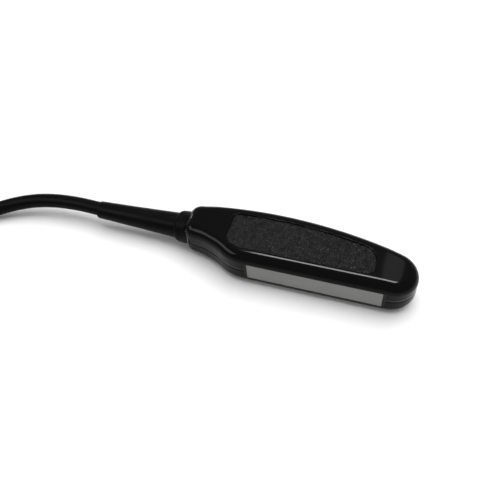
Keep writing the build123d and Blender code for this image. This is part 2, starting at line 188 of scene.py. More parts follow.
def carried(
    name: str, stations: Array, section: tuple[Array, Array], inset: Array, middle: Vector
) -> bpy.types.Object:
    """Carries a section along X, moved inwards by its own inset at each station, and closes both ends.

    A point is (station, middle y, middle z) plus the section's point less the inset times its outward
    direction.

    Args:
        name: the piece's name.
        stations: X of each section.
        section: the section's points in Y and Z, and their outward directions.
        inset: how far each section is drawn in.
        middle: the section's middle.

    Returns:
        The new object.
    """
    outline, outward = section
    count = len(outline)
    flat = outline[None] - inset[:, None, None] * outward[None]
    x = np.broadcast_to(stations[:, None, None], (*flat.shape[:2], 1))
    points = np.concatenate([x, flat + [middle.y, middle.z]], axis=2).reshape(-1, 3)
    sides = grid_faces(len(stations), count)
    ends = [np.arange(count)[::-1], (len(stations) - 1) * count + np.arange(count)]
    return make_piece(name, points, [*sides, *ends])


def quarter(steps: int) -> Array:
    """Angles of a quarter circle, from 0 to a right angle."""
    return np.linspace(0.0, np.pi / 2, steps)


def directions(angle: Array) -> Array:
    """Unit directions at the angles, one row of cosine and sine each."""
    return np.stack([np.cos(angle), np.sin(angle)], axis=1)


def heading(step: Array) -> float:
    """Angle of a plan direction."""
    return math.atan2(step[1], step[0])


def profile_arc(
    centre: Sequence[float], radii: float | Sequence[float], start: float, end: float, steps: int = 7
) -> Array:
    """Arc of a turned profile: the centre plus its radii times the directions between two angles.

    Args:
        centre: x and radius of the arc's centre.
        radii: the arc's radius, or its two radii along x and along the radius.
        start: first angle in degrees.
        end: last angle in degrees.
        steps: points on the arc.

    Returns:
        Rows of x and radius.
    """
    return np.array(centre) + directions(np.radians(np.linspace(start, end, steps))) * radii


def rounded_rectangle(width: float, height: float, radius: float, steps: int = 8) -> tuple[Array, Array]:
    """Rounded rectangle about the origin, anticlockwise, with its outward directions.

    A point is its corner's centre plus the radius times the direction, which turns a quarter at each corner.

    Args:
        width: full width along the first axis.
        height: full height along the second axis.
        radius: corner radius.
        steps: points on each corner.

    Returns:
        The points and their unit outward directions, each of shape (4 * steps, 2).
    """
    outward = directions((quarter(steps)[None, :] + np.arange(4)[:, None] * np.pi / 2).ravel())
    signs = np.repeat(np.array([[1, 1], [-1, 1], [-1, -1], [1, -1]]), steps, axis=0)
    centres = signs * (np.array([width, height]) / 2 - radius)
    return centres + radius * outward, outward


def box_centre(node: str) -> Vector:
    """Middle of a CAD node's box."""
    low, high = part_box(node)
    return (low + high) / 2


# Shader node groups and finishes


def feed(tree: Tree, socket: Socket, value: Value) -> None:
    """Joins an output to a socket, or sets a plain value on it.

    Args:
        tree: the node tree.
        socket: the input to feed.
        value: another node's output, a number or three numbers.
    """
    if isinstance(value, Socket):
        tree.links.new(value, socket)
    else:
        socket.default_value = value


def new_group(
    name: str, inputs: dict[str, float], outputs: Sequence[str]
) -> tuple[Tree, bpy.types.NodeOutputs, bpy.types.NodeInputs]:
    """Starts a shader node group with a vector and plain number inputs.

    Args:
        name: the group's name.
        inputs: its number inputs with their defaults.
        outputs: its number outputs.

    Returns:
        The group, the sockets that it is given by name, and the sockets that it has to fill by name.
    """
    group = bpy.data.node_groups.new(name, "ShaderNodeTree")
    group.interface.new_socket("Vector", in_out="INPUT", socket_type="NodeSocketVector")
    for label, value in inputs.items():
        socket = group.interface.new_socket(label, in_out="INPUT", socket_type="NodeSocketFloat")
        socket.default_value = value
    for label in outputs:
        group.interface.new_socket(label, in_out="OUTPUT", socket_type="NodeSocketFloat")
    start = group.nodes.new("NodeGroupInput")
    end = group.nodes.new("NodeGroupOutput")
    return group, start.outputs, end.inputs


def math_node(tree: Tree, operation: str, first: Value, second: Value) -> Socket:
    """Adds a Math node.

    Args:
        tree: the node tree.
        operation: the Math node's operation.
        first: a socket or a number.
        second: a socket or a number.

    Returns:
        The node's output.
    """
    node = tree.nodes.new("ShaderNodeMath")
    node.operation = operation
    feed(tree, node.inputs[0], first)
    feed(tree, node.inputs[1], second)
    return node.outputs[0]


def ramp_node(tree: Tree, value: Socket, span: Sequence[Value], result: Sequence[Value]) -> Socket:
    """Adds a Map Range node.

    Args:
        tree: the node tree.
        value: the socket to map.
        span: the low and high value to map from, each a socket or a number.
        result: the low and high value to map to.

    Returns:
        The mapped value.
    """
    node = tree.nodes.new("ShaderNodeMapRange")
    feed(tree, node.inputs["Value"], value)
    for label, bound in zip(("From Min", "From Max", "To Min", "To Max"), (*span, *result)):
        feed(tree, node.inputs[label], bound)
    return node.outputs["Result"]


def noise_node(tree: Tree, vector: Socket, scale: Value, detail: float, output: str = "Fac") -> Socket:
    """Adds a Noise Texture node.

    Args:
        tree: the node tree.
        vector: the place at which to take the noise.
        scale: the noise's scale, a socket or a number.
        detail: how many finer layers it has.
        output: which of its outputs is wanted.

    Returns:
        That output.
    """
    node = tree.nodes.new("ShaderNodeTexNoise")
    for label, value in (("Vector", vector), ("Scale", scale), ("Detail", detail)):
        feed(tree, node.inputs[label], value)
    return node.outputs[output]


def moulding_group() -> Tree:
    """Moulded or cast surface: a fine grain, broad handling smudges and a slow drift of shade.

    Height is noise at the grain's scale. Roughness and Shade are slower noise mapped about 1, so a material
    multiplies its own values by them.

    Returns:
        The group.
    """
    inputs = {"Grain Scale": 3000.0, "Smudge": 0.15}
    group, given, wanted = new_group("moulded surface", inputs, ("Height", "Roughness", "Shade"))
    grain = noise_node(group, given["Vector"], scale=given["Grain Scale"], detail=3.0)
    smudge = noise_node(group, given["Vector"], scale=70.0, detail=4.0)
    low = math_node(group, "SUBTRACT", 1.0, given["Smudge"])
    high = math_node(group, "ADD", 1.0, given["Smudge"])
    drift = noise_node(group, given["Vector"], scale=45.0, detail=2.0)
    feed(group, wanted["Height"], grain)
    feed(group, wanted["Roughness"], ramp_node(group, smudge, NOISE_SPAN, (low, high)))
    feed(group, wanted["Shade"], ramp_node(group, drift, NOISE_SPAN, SLIGHT_DRIFT))
    return group


def grip_group() -> Tree:
    """Leather-like grip grain: rounded pebbles between creases, each a little different in height and shade.

    Height is the distance to the nearest cell edge, raised quickly and then level, plus finer noise. Shade
    is painted shade, darker in the creases where shade falls, and drifts at random over the panel.

    Returns:
        The group.
    """
    warp_reach = 0.6 * MM
    pebble_edge = (0.0, 0.28)
    fine_share = 0.35
    drift_span, drift_shade = (0.32, 0.68), (0.2, 1.8)
    crease_painted_shade = (0.1, 1.6)
    group, given, wanted = new_group("grip grain with painted crease shade", {"Pebble Scale": 1600.0}, ("Height", "Shade"))
    warp = noise_node(group, given["Vector"], scale=900.0, detail=2.0, output="Color")
    shift = group.nodes.new("ShaderNodeVectorMath")
    shift.operation = "MULTIPLY_ADD"
    for socket, value in zip(shift.inputs, (warp, (warp_reach,) * 3, given["Vector"])):
        feed(group, socket, value)
    cells = group.nodes.new("ShaderNodeTexVoronoi")
    cells.feature = "DISTANCE_TO_EDGE"
    feed(group, cells.inputs["Vector"], shift.outputs[0])
    feed(group, cells.inputs["Scale"], given["Pebble Scale"])
    pebble = ramp_node(group, cells.outputs["Distance"], pebble_edge, (0.0, 1.0))
    fine = noise_node(group, given["Vector"], scale=5200.0, detail=2.0)
    height = math_node(group, "ADD", pebble, math_node(group, "MULTIPLY", fine, fine_share))
    patches = noise_node(group, given["Vector"], scale=420.0, detail=6.0)
    drift = ramp_node(group, patches, drift_span, drift_shade)
    # Painted shade: the colour is darkened in the creases between the pebbles
    painted_crease_shade = ramp_node(group, pebble, (0.0, 1.0), crease_painted_shade)
    feed(group, wanted["Height"], height)
    feed(group, wanted["Shade"], math_node(group, "MULTIPLY", drift, painted_crease_shade))
    return group


def weave_group() -> Tree:
    """Woven strap: two crossed wave bands, with loose fibres as noise.

    Height is the larger of a wave along X and a diagonal one, plus noise. Shade follows the height: painted
    shade in the low parts of the weave, painted light on the raised threads.

    Returns:
        The group.
    """
    fibre_share = 0.6
    height_span, weave_painted_shade = (0.2, 1.4), (0.7, 1.3)
    group, given, wanted = new_group("woven strap", {"Thread Scale": 420.0}, ("Height", "Shade"))
    waves = []
    for direction in ("X", "DIAGONAL"):
        wave = group.nodes.new("ShaderNodeTexWave")
        wave.bands_direction = direction
        wave.inputs["Distortion"].default_value = 2.0
        feed(group, wave.inputs["Vector"], given["Vector"])
        feed(group, wave.inputs["Scale"], given["Thread Scale"])
        waves.append(wave.outputs["Fac"])
    fibre = noise_node(group, given["Vector"], scale=6000.0, detail=3.0)
    loose = math_node(group, "MULTIPLY", fibre, fibre_share)
    height = math_node(group, "ADD", math_node(group, "MAXIMUM", *waves), loose)
    feed(group, wanted["Height"], height)
    # Painted shade and light: the colour is darker where the weave is low and lighter where it is raised
    feed(group, wanted["Shade"], ramp_node(group, height, height_span, weave_painted_shade))
    return group


def brushed_group() -> Tree:
    """Brushed or drawn metal: noise stretched along X, as Height and as a Roughness and Shade about 1.

    Returns:
        The group.
    """
    stretched = (0.04, 1.0, 1.0)
    rough_drift = (0.8, 1.25)
    inputs = {"Line Scale": 4000.0}
    group, given, wanted = new_group("brushed metal", inputs, ("Height", "Roughness", "Shade"))
    stretch = group.nodes.new("ShaderNodeMapping")
    feed(group, stretch.inputs["Scale"], stretched)
    feed(group, stretch.inputs["Vector"], given["Vector"])
    lines = noise_node(group, stretch.outputs["Vector"], scale=given["Line Scale"], detail=3.0)
    feed(group, wanted["Height"], lines)
    feed(group, wanted["Roughness"], ramp_node(group, lines, NOISE_SPAN, rough_drift))
    feed(group, wanted["Shade"], ramp_node(group, lines, NOISE_SPAN, SLIGHT_DRIFT))
    return group


@dataclass(frozen=True)
class Finish:
    """One finish: its colour and gloss, and the scale, strength and depth of its texture."""

    name: str
    colour: Tint
    roughness: float
    grain: float
    bump: float
    texture: Texture = Texture.MOULDED
    depth: float = 0.05 * MM
    metallic: float = 0.0
    specular: float = 0.5
    sheen: float = 0.0

    @classmethod
    def metal(
        cls, name: str, colour: Tint, roughness: float, grain: float = 4000.0, bump: float = 0.1
    ) -> "Finish":
        """A brushed metal's finish."""
        return cls(name, colour, roughness, grain, bump, Texture.BRUSHED, metallic=1.0)

    def build(self, groups: dict[Texture, Tree]) -> bpy.types.Material:
        """Makes the material: the texture group shades the colour, the roughness and the bump.

        Args:
            groups: the shared node group of each texture, which has its scale as its first number input.

        Returns:
            The material.
        """
        material = bpy.data.materials.new(self.name)
        material.use_nodes = True
        tree = material.node_tree
        shader = tree.nodes["Principled BSDF"].inputs
        shader["Metallic"].default_value = self.metallic
        shader["Specular IOR Level"].default_value = self.specular
        shader["Sheen Weight"].default_value = self.sheen
        shader["Roughness"].default_value = self.roughness
        place = tree.nodes.new("ShaderNodeTexCoord")
        surface = tree.nodes.new("ShaderNodeGroup")
        surface.node_tree = groups[self.texture]
        surface.inputs[1].default_value = self.grain
        feed(tree, surface.inputs["Vector"], place.outputs["Object"])
        tint = tree.nodes.new("ShaderNodeMix")
        tint.data_type = "RGBA"
        tint.blend_type = "MULTIPLY"
        tint.inputs["Factor"].default_value = 1.0
        tint.inputs["A"].default_value = (*self.colour, 1.0)
        feed(tree, tint.inputs["B"], surface.outputs["Shade"])
        feed(tree, shader["Base Color"], tint.outputs["Result"])
        if "Roughness" in surface.outputs:
            rough = math_node(tree, "MULTIPLY", surface.outputs["Roughness"], self.roughness)
            feed(tree, shader["Roughness"], rough)
        bump = tree.nodes.new("ShaderNodeBump")
        bump.inputs["Strength"].default_value = self.bump
        bump.inputs["Distance"].default_value = self.depth
        feed(tree, bump.inputs["Height"], surface.outputs["Height"])
        feed(tree, shader["Normal"], bump.outputs["Normal"])
        return material


class Finishes:
    """Every finish of the probe, and the materials made from them."""

    BLACK = (0.002, 0.002, 0.0021)
    HOUSING = Finish("polished housing", BLACK, 0.1, grain=900.0, bump=0.02, specular=0.08)
    GRIP = Finish(
        "grip panel", (0.0115, 0.0115, 0.0117), 0.5, grain=850.0, bump=1.0, texture=Texture.GRIP,
        depth=0.25 * MM, specular=0.08,
    )
    LENS = Finish("lens silicone", (0.172, 0.174, 0.162), 0.42, grain=1500.0, bump=0.05)
    COLLAR = Finish("collar", (0.0015, 0.0015, 0.0016), 0.45, grain=2500.0, bump=0.04, specular=0.04)
    # Painted highlight: the lip's grey, far lighter than the collar, stands for the bright line along the
    # joint; its gloss adds a real one
    LIP_PAINTED_HIGHLIGHT = Finish("joint bead with painted highlight", (0.07, 0.07, 0.069), 0.35, grain=900.0, bump=0.02)
    BOOT = Finish("boot elastomer", BLACK, 0.36, grain=2500.0, bump=0.08, specular=0.04)
    CABLE = Finish("cable jacket", BLACK, 0.36, grain=1800.0, bump=0.08, specular=0.04)
    TIE = Finish(
        "hook-and-loop strap", (0.02, 0.02, 0.022), 0.85, grain=420.0, bump=0.5, texture=Texture.WOVEN,
        depth=0.2 * MM, sheen=0.3,
    )
    PLUG = Finish("plug moulding", (0.022, 0.022, 0.024), 0.5, grain=2600.0, bump=0.25, depth=0.08 * MM)
    NODES = {
        "array_frame": Finish(
            "array frame", (0.003, 0.003, 0.0032), 0.3, grain=3000.0, bump=0.1, specular=0.13
        ),
        "outer_matching_layer": Finish(
            "outer matching epoxy", (0.35, 0.33, 0.27), 0.6, grain=3500.0, bump=0.1
        ),
        "inner_matching_layer": Finish(
            "inner matching epoxy", (0.3, 0.28, 0.23), 0.6, grain=3500.0, bump=0.1
        ),
        "piezo_elements": Finish("fired ceramic", (0.42, 0.34, 0.22), 0.55, grain=4000.0, bump=0.15),
        "signal_flex": Finish("polyimide film", (0.42, 0.18, 0.04), 0.25, grain=900.0, bump=0.03),
        "backing_block": Finish("loaded rubber", (0.05, 0.05, 0.055), 0.8, grain=1800.0, bump=0.3),
        "interconnect_board": Finish("solder resist", (0.02, 0.16, 0.05), 0.35, grain=1200.0, bump=0.08),
        "flex_connectors": Finish("connector moulding", (0.04, 0.04, 0.042), 0.5, grain=3000.0, bump=0.1),
        "tuning_inductors": Finish("sintered ferrite", (0.09, 0.088, 0.085), 0.65, grain=4000.0, bump=0.25),
        "board_screws": Finish.metal("screw steel", (0.55, 0.55, 0.56), 0.3),
        "coax_bundle": Finish(
            "coaxial cores", (0.55, 0.54, 0.5), 0.55, grain=1500.0, bump=0.4, texture=Texture.BRUSHED
        ),
        "shield_ferrule": Finish.metal("crimped brass", (0.6, 0.46, 0.2), 0.32),
        "cable_clamp": Finish.metal("clamp steel", (0.5, 0.5, 0.51), 0.35),
        "clamp_screws": Finish.metal("clamp screw steel", (0.55, 0.55, 0.56), 0.3),
        "neck_seal": Finish("nitrile ring", (0.03, 0.03, 0.03), 0.6, grain=2500.0, bump=0.1),
        "plug_plate": Finish.metal("nickelled plate", (0.56, 0.56, 0.57), 0.28),
        "plug_tongue": Finish("tongue moulding", (0.04, 0.04, 0.042), 0.5, grain=3000.0, bump=0.1),
        "plug_contacts": Finish.metal("gold plating", (0.78, 0.58, 0.22), 0.22, grain=5000.0, bump=0.06),
    }

    def __init__(self) -> None:
        """Starts with the shared groups and no materials."""
        self.groups = {
            Texture.MOULDED: moulding_group(), Texture.GRIP: grip_group(),
            Texture.WOVEN: weave_group(), Texture.BRUSHED: brushed_group(),
        }
        self.made: dict[str, bpy.types.Material] = {}

    def material(self, finish: Finish) -> bpy.types.Material:
        """Finds a finish's material, or makes it at its first use.

        Args:
            finish: the finish.

        Returns:
            Its material.
        """
        if finish.name not in self.made:
            self.made[finish.name] = finish.build(self.groups)
        return self.made[finish.name]

    def dress(self, piece: bpy.types.Object, *finishes: Finish) -> None:
        """Gives a piece its materials, and its faces the first of them.

        Args:
            piece: the piece to dress.
            finishes: its finishes, in the order of its material numbers.
        """
        piece.data.materials.clear()
        for finish in finishes:
            piece.data.materials.append(self.material(finish))


# The probe's pieces


@dataclass
class Outline:
    """The housing's plan outline as points and inward directions, anticlockwise from the near neck corner."""

    neck_x: float
    tip_x: float
    lens_y: float
    back_y: float
    axis_y: float
    flare_end_x: float
    window: tuple[float, float]
    neck_half_width: float = 9.25 * MM
    corner: float = 6.0 * MM
    neck_land: float = 1.2 * MM
    flare_inflection: float = 0.65
    nose_radius: float = 11.5 * MM
    corner_steps: int = 14
    hollow_steps: int = 26
    bulge_steps: int = 24
    window_steps: int = 60
    nose_steps: int = 72
    back_steps: int = 110
    neck_steps: int = 10
    points: Array = field(init=False)
    inward: Array = field(init=False)

    def __post_init__(self) -> None:
        """Joins the runs and arcs of the outline, each sampled evenly."""
        flare_start = np.array([self.neck_x + self.neck_land, self.axis_y - self.neck_half_width])
        flare_end = np.array([self.flare_end_x, self.lens_y])
        middle = flare_start + self.flare_inflection * (flare_end - flare_start)
        hollow, hollow_radius, hollow_turn = self.flare_circle(flare_start, middle, 0.0, -1)
        bulge, bulge_radius, bulge_turn = self.flare_circle(middle, flare_end, hollow_turn, 1)
        bulge_start = heading(middle - bulge)
        near_touch, near = self.neck_corner(hollow, hollow_radius, 1)
        near_angle = heading(near_touch - hollow)
        nose = np.array([self.tip_x - self.nose_radius, self.lens_y + self.nose_radius])
        back_radius, apex_x = self.back_arc(nose)
        back = np.array([apex_x, self.back_y - back_radius])
        nose_angle = heading(nose - back)
        far_touch, far = self.neck_corner(back, back_radius, -1)
        far_angle = heading(far_touch - back)
        runs = [
            self.arc(near, self.corner, (-np.pi, near_angle - np.pi), self.corner_steps),
            self.arc(hollow, hollow_radius, (near_angle, heading(middle - hollow)), self.hollow_steps, -1),
            self.arc(bulge, bulge_radius, (bulge_start, bulge_start + bulge_turn), self.bulge_steps),
            self.window_run(flare_end, nose),
            self.arc(nose, self.nose_radius, (-np.pi / 2, nose_angle), self.nose_steps),
            self.arc(back, back_radius, (nose_angle, far_angle), self.back_steps),
            self.arc(far, self.corner, (far_angle, np.pi), self.corner_steps),
            self.neck_run(far[1], near[1]),
        ]
        self.points = np.concatenate([run[0] for run in runs])
        self.inward = np.concatenate([run[1] for run in runs])

    def back_arc(self, nose: Array) -> tuple[float, float]:
        """Finds the arc through the far neck corner that touches the back line and the nose arc.

        Its centre is one radius from the back line. Passing through the corner and running smoothly into the
        nose arc give two equations, and so a quadratic for the way along X from apex to nose centre.

        Args:
            nose: centre of the nose arc.

        Returns:
            The arc's radius and the X of its apex.
        """
        neck_fall = self.back_y - self.axis_y - self.neck_half_width
        nose_fall = self.back_y - nose[1]
        margin = nose_fall - self.nose_radius
        length = nose[0] - self.neck_x
        lead = neck_fall / margin - 1
        rest = length**2 - neck_fall * (self.nose_radius + nose_fall - neck_fall)
        to_nose = (-length + math.sqrt(length**2 + lead * rest)) / lead
        radius = (to_nose**2 / margin + self.nose_radius + nose_fall) / 2
        return radius, nose[0] - to_nose

    def neck_corner(self, centre: Array, radius: float, side: int) -> tuple[Array, Array]:
        """Finds the corner arc that touches the neck's end and one of the long arcs.

        Args:
            centre: the long arc's centre.
            radius: the long arc's radius.
            side: 1 where the long arc is hollow, -1 where it bulges.

        Returns:
            The point where the two arcs touch, and the corner's centre.
        """
        x = self.neck_x + self.corner
        reach = radius + side * self.corner
        corner = np.array([x, centre[1] + math.sqrt(reach**2 - (x - centre[0]) ** 2)])
        return centre + (corner - centre) * radius / reach, corner

    @staticmethod
    def arc(
        centre: Array, radius: float, turn: tuple[float, float], steps: int, side: int = 1
    ) -> tuple[Array, Array]:
        """Samples an arc without its end.

        Args:
            centre: the arc's centre.
            radius: its radius.
            turn: its first and last angle.
            steps: number of points.
            side: 1 where inwards is towards the centre, -1 where it is away from it.

        Returns:
            The points and their inward directions.
        """
        out = directions(np.linspace(*turn, steps, endpoint=False))
        return centre + radius * out, -side * out

    def flare_circle(self, start: Array, end: Array, leaving: float, side: int) -> tuple[Array, float, float]:
        """Circle of an arc that leaves start at an angle and ends at end.

        Args:
            start: the arc's start.
            end: the arc's end.
            leaving: angle at which it leaves the start.
            side: 1 where it turns left, -1 where it turns right.

        Returns:
            The centre, the radius and the angle that the arc turns through.
        """
        normal = side * np.array([-math.sin(leaving), math.cos(leaving)])
        chord = end - start
        radius = chord @ chord / (2 * chord @ normal)
        return start + radius * normal, radius, 2 * (heading(chord) - leaving)

    def window_run(self, start: Array, end: Array) -> tuple[Array, Array]:
        """Samples the straight run past the window, with points at the ends of its opening.

        Args:
            start: the run's start.
            end: a point above the run's end.

        Returns:
            The points and their inward directions.
        """
        even = np.linspace(start[0], end[0], self.window_steps)[:-1]
        x = np.unique(np.concatenate([even, self.window]))
        return np.stack([x, np.full_like(x, self.lens_y)], axis=1), np.tile([0.0, 1.0], (len(x), 1))

    def neck_run(self, start_y: float, end_y: float) -> tuple[Array, Array]:
        """Samples the neck's straight end without its last point.

        Args:
            start_y: Y where it starts.
            end_y: Y where it ends.

        Returns:
            The points and their inward directions.
        """
        y = start_y + np.linspace(0.0, 1.0, self.neck_steps, endpoint=False) * (end_y - start_y)
        return np.stack([np.full_like(y, self.neck_x), y], axis=1), np.tile([1.0, 0.0], (len(y), 1))

    def inset(self, distance: float) -> Array:
        """The outline moved inwards by a distance."""
        return self.points + distance * self.inward


@dataclass(frozen=True)
class PanelCorner:
    """A corner arc of the grip panel: its place along the outline, centre, inward direction and radius."""

    place: float
    centre: Array
    inward: Array
    radius: float


@dataclass
class GripPanel:
    """The recessed grip panel's edge, with one point for each point of the outline."""

    outline: Outline
    start_x: float
    end_x: float
    margin: float = 5.6 * MM
    near_neck_radius: float = 5.0 * MM
    far_neck_radius: float = 2.6 * MM
    near_nose_radius: float = 4.0 * MM
    far_nose_radius: float = 9.0 * MM
    guide_inset: float = 4.0 * MM
    side_slope: float = 0.5
    corner_steps: int = 60
    edge: Array = field(init=False)
    inward: Array = field(init=False)

    def __post_init__(self) -> None:
        """Follows the inset outline along both sides, and corner arcs and a straight end at neck and nose."""
        far = self.outline.inward[:, 1] < 0
        near_neck = self.corner(~far, self.start_x, 1, self.near_neck_radius)
        near_nose = self.corner(~far, self.end_x, -1, self.near_nose_radius)
        far_nose = self.corner(far, self.end_x, -1, self.far_nose_radius)
        far_neck = self.corner(far, self.start_x, 1, self.far_neck_radius)
        number = np.arange(len(self.outline.points))
        nose = number[(number > near_nose.place) & (number < far_nose.place)]
        neck = np.concatenate([number[number > far_neck.place], number[number < near_neck.place]])
        self.edge = self.outline.inset(self.margin)
        self.spread_over(self.end_path(near_nose, far_nose, 0.0), nose)
        self.spread_over(self.end_path(far_neck, near_neck, np.pi), neck)
        along = np.roll(self.edge, -1, axis=0) - np.roll(self.edge, 1, axis=0)
        along /= np.linalg.norm(along, axis=1, keepdims=True)
        self.inward = np.stack([-along[:, 1], along[:, 0]], axis=1)

    def corner(self, side: Array, end_x: float, towards: int, radius: float) -> PanelCorner:
        """Finds a corner arc between a side and an end line.

        Its centre is on the outline inset by the margin and the radius, one radius from the end line.

        Args:
            side: mask of the outline points on that side.
            end_x: X of the end line.
            towards: 1 where the panel lies on its +X side, else -1.
            radius: the corner's radius.

        Returns:
            The corner.
        """
        lines = self.outline.inset(self.margin + radius)
        number = np.nonzero(side & (np.abs(self.outline.inward[:, 1]) > self.side_slope))[0]
        number = number[np.argsort(lines[number, 0])]
        target = end_x + towards * radius
        place = np.interp(target, lines[number, 0], number.astype(float))
        whole = np.arange(len(lines))
        centre = np.array([target, np.interp(place, whole, lines[:, 1])])
        inward = np.array([np.interp(place, whole, self.outline.inward[:, axis]) for axis in (0, 1)])
        return PanelCorner(place, centre, inward / np.linalg.norm(inward), radius)

    def end_path(self, first: PanelCorner, last: PanelCorner, facing: float) -> Array:
        """Dense points over an end: a corner arc, the straight end and the other corner arc.

        Args:
            first: the first corner.
            last: the last corner.
            facing: outward angle of the straight end.

        Returns:
            The points in order.
        """
        begin, finish = heading(-first.inward), heading(-last.inward)
        begin -= 2 * np.pi * (begin > facing)
        finish += 2 * np.pi * (finish < facing)
        return np.concatenate([
            first.centre + first.radius * directions(np.linspace(begin, facing, self.corner_steps)),
            last.centre + last.radius * directions(np.linspace(facing, finish, self.corner_steps)),
        ])

    def spread_over(self, path: Array, numbers: Array) -> None:
        """Sets edge points along a path, each as far along it as it is along a line inside the outline.

        Args:
            path: the path's points.
            numbers: numbers of the edge points to set.
        """
        guide = self.outline.inset(self.guide_inset)
        length = np.concatenate([[0.0], np.cumsum(np.linalg.norm(np.diff(path, axis=0), axis=1))])
        whole = guide[np.concatenate([[numbers[0] - 1], numbers, [(numbers[-1] + 1) % len(guide)]])]
        share = np.cumsum(np.linalg.norm(np.diff(whole, axis=0), axis=1))
        place = share[:-1] / share[-1] * length[-1]
        self.edge[numbers] = np.stack([np.interp(place, length, path[:, axis]) for axis in (0, 1)], axis=1)


@dataclass
class Housing:
    """The two-part moulded housing with its recessed grip panels."""

    edge_radius: float = 4.9 * MM
    end_edge_radius: float = 5.6 * MM
    end_blend: float = 9.0 * MM
    flare_end_gap: float = 1.0 * MM
    nose_side_length: float = 17.0 * MM
    nose_side_radius: float = 75.0 * MM
    nose_ease: float = 0.7
    panel_depth: float = 0.8 * MM
    panel_lead: float = 13.5 * MM
    panel_nose_margin: float = 19.5 * MM
    rim_round: float = 0.12 * MM
    recess_draft: float = 0.08 * MM
    floor_round: float = 0.22 * MM
    floor_rings: tuple[float, ...] = (0.12, 0.35, 0.65, 0.88)
    joint_depth: float = 0.09 * MM
    joint_height: float = 0.09 * MM
    opening_gap: float = 0.1 * MM
    edge_gap: float = 0.02 * MM
    flat_tolerance: float = 0.01 * MM
    wall: float = 1.2 * MM
    wall_rows: int = 5
    edge_rows: int = 18
    land_rows: int = 7
    rim_rows: int = 4
    floor_round_rows: int = 4

    def __post_init__(self) -> None:
        """Reads the housing's extent from the frame and lays out its outline and panel."""
        low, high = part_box("upper_shell")
        frame_low, frame_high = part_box("array_frame")
        self.top = high.z
        self.middle = (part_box("lower_shell")[0].z + high.z) / 2
        self.window_top = frame_high.z + self.opening_gap
        self.arc_start = high.x - self.nose_side_length
        self.opening = (frame_low.x - self.opening_gap, frame_high.x + self.opening_gap)
        self.outline = Outline(
            neck_x=low.x, tip_x=high.x, lens_y=low.y, back_y=high.y, axis_y=box_centre("neck_collar").y,
            flare_end_x=frame_low.x - self.flare_end_gap, window=self.opening,
        )
        panel_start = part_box("acoustic_lens")[0].x - self.panel_lead
        self.panel = GripPanel(self.outline, panel_start, high.x - self.panel_nose_margin)

    def top_at(self, x: Array) -> Array:
        """Height of the broad face: level, then an arc that falls towards the nose."""
        past = np.clip(x - self.arc_start, 0.0, None)
        return self.top - (self.nose_side_radius - np.sqrt(self.nose_side_radius**2 - past**2))

    def edge_radii(self) -> Array:
        """Eases the edge radius from a larger one round the neck's end, by 3 s^2 - 2 s^3 along X.

        Returns:
            The radius at each outline point.
        """
        past = self.outline.points[:, 0] - self.outline.neck_x - self.outline.corner
        share = np.clip(past / self.end_blend, 0, 1)
        smooth = share * share * (3 - 2 * share)
        return self.end_edge_radius + (self.edge_radius - self.end_edge_radius) * smooth

    def surface(self) -> tuple[Array, int, int]:
        """Works out the upper half as a grid of section rows by outline columns.

        Up the wall the inset is 0, but for a fine groove at the joint. Over the edge, at inset
        d = r (1 - cos a), the height is the broad face's less r (1 - sin a). The broad face is taken there at
        inset r (s + ease (1 - s)^2) with s = d / r, which eases the edge round the falling nose. From there
        to the panel's edge the rows run straight between the two curves on the broad face. Then comes the
        recess.

        Returns:
            The points (rows, columns, 3), the number of the row at the window's top, and the first row of
            the grip, which starts with the last band of the floor's round.
        """
        radii = self.edge_radii()
        turn = quarter(self.edge_rows)[:, None]
        depth = radii * (1 - np.cos(turn))
        share = depth / radii
        eased = share + self.nose_ease * (1 - share) ** 2
        plan = self.outline.points + depth[..., None] * self.outline.inward
        face_x = self.outline.points[:, 0] + radii * eased * self.outline.inward[:, 0]
        edge = np.dstack([plan, self.top_at(face_x) - radii * (1 - np.sin(turn))])
        window = np.minimum(self.window_top, edge[0, :, 2] - self.edge_gap)
        rise = np.linspace(0.0, 1.0, self.wall_rows)[:, None]
        wall_z = (self.middle + self.joint_height) * (1 - rise) + window * rise
        wall_z = np.concatenate([np.full((1, len(window)), self.middle), wall_z])
        groove = np.zeros_like(wall_z)
        groove[0] = self.joint_depth
        wall = np.dstack([self.outline.points + groove[..., None] * self.outline.inward, wall_z])
        blend = np.linspace(0.0, 1.0, self.land_rows + 1)[1:, None, None]
        land_plan = edge[-1, :, :2] * (1 - blend) + self.panel.edge * blend
        land = np.dstack([land_plan, self.top_at(land_plan[..., 0])])
        above = np.concatenate([wall, edge, land])
        grip_row = len(above) + self.rim_rows + self.floor_round_rows - 2
        return np.concatenate([above, self.recess()]), len(wall) - 1, grip_row

    def recess(self) -> Array:
        """Works out the recess: the rim's round, the wall, the floor's round and the floor's shrinking rings.

        Returns:
            The rows of points.
        """
        rim = quarter(self.rim_rows + 1)[1:]
        foot = quarter(self.floor_round_rows)
        draft = self.rim_round + self.recess_draft
        steps = np.concatenate([self.rim_round * np.sin(rim), draft + self.floor_round * (1 - np.cos(foot))])
        falls = np.concatenate([
            self.rim_round * (1 - np.cos(rim)),
            self.panel_depth - self.floor_round + self.floor_round * np.sin(foot),
        ])
        plan = self.panel.edge + steps[:, None, None] * self.panel.inward
        height = np.broadcast_to(self.top - falls[:, None], plan.shape[:2])
        rows = np.dstack([plan, height])
        middle = np.array([*self.panel.edge.mean(axis=0), self.top - self.panel_depth])
        shrink = np.array(self.floor_rings)[:, None, None]
        return np.concatenate([rows, rows[-1] * (1 - shrink) + middle * shrink])

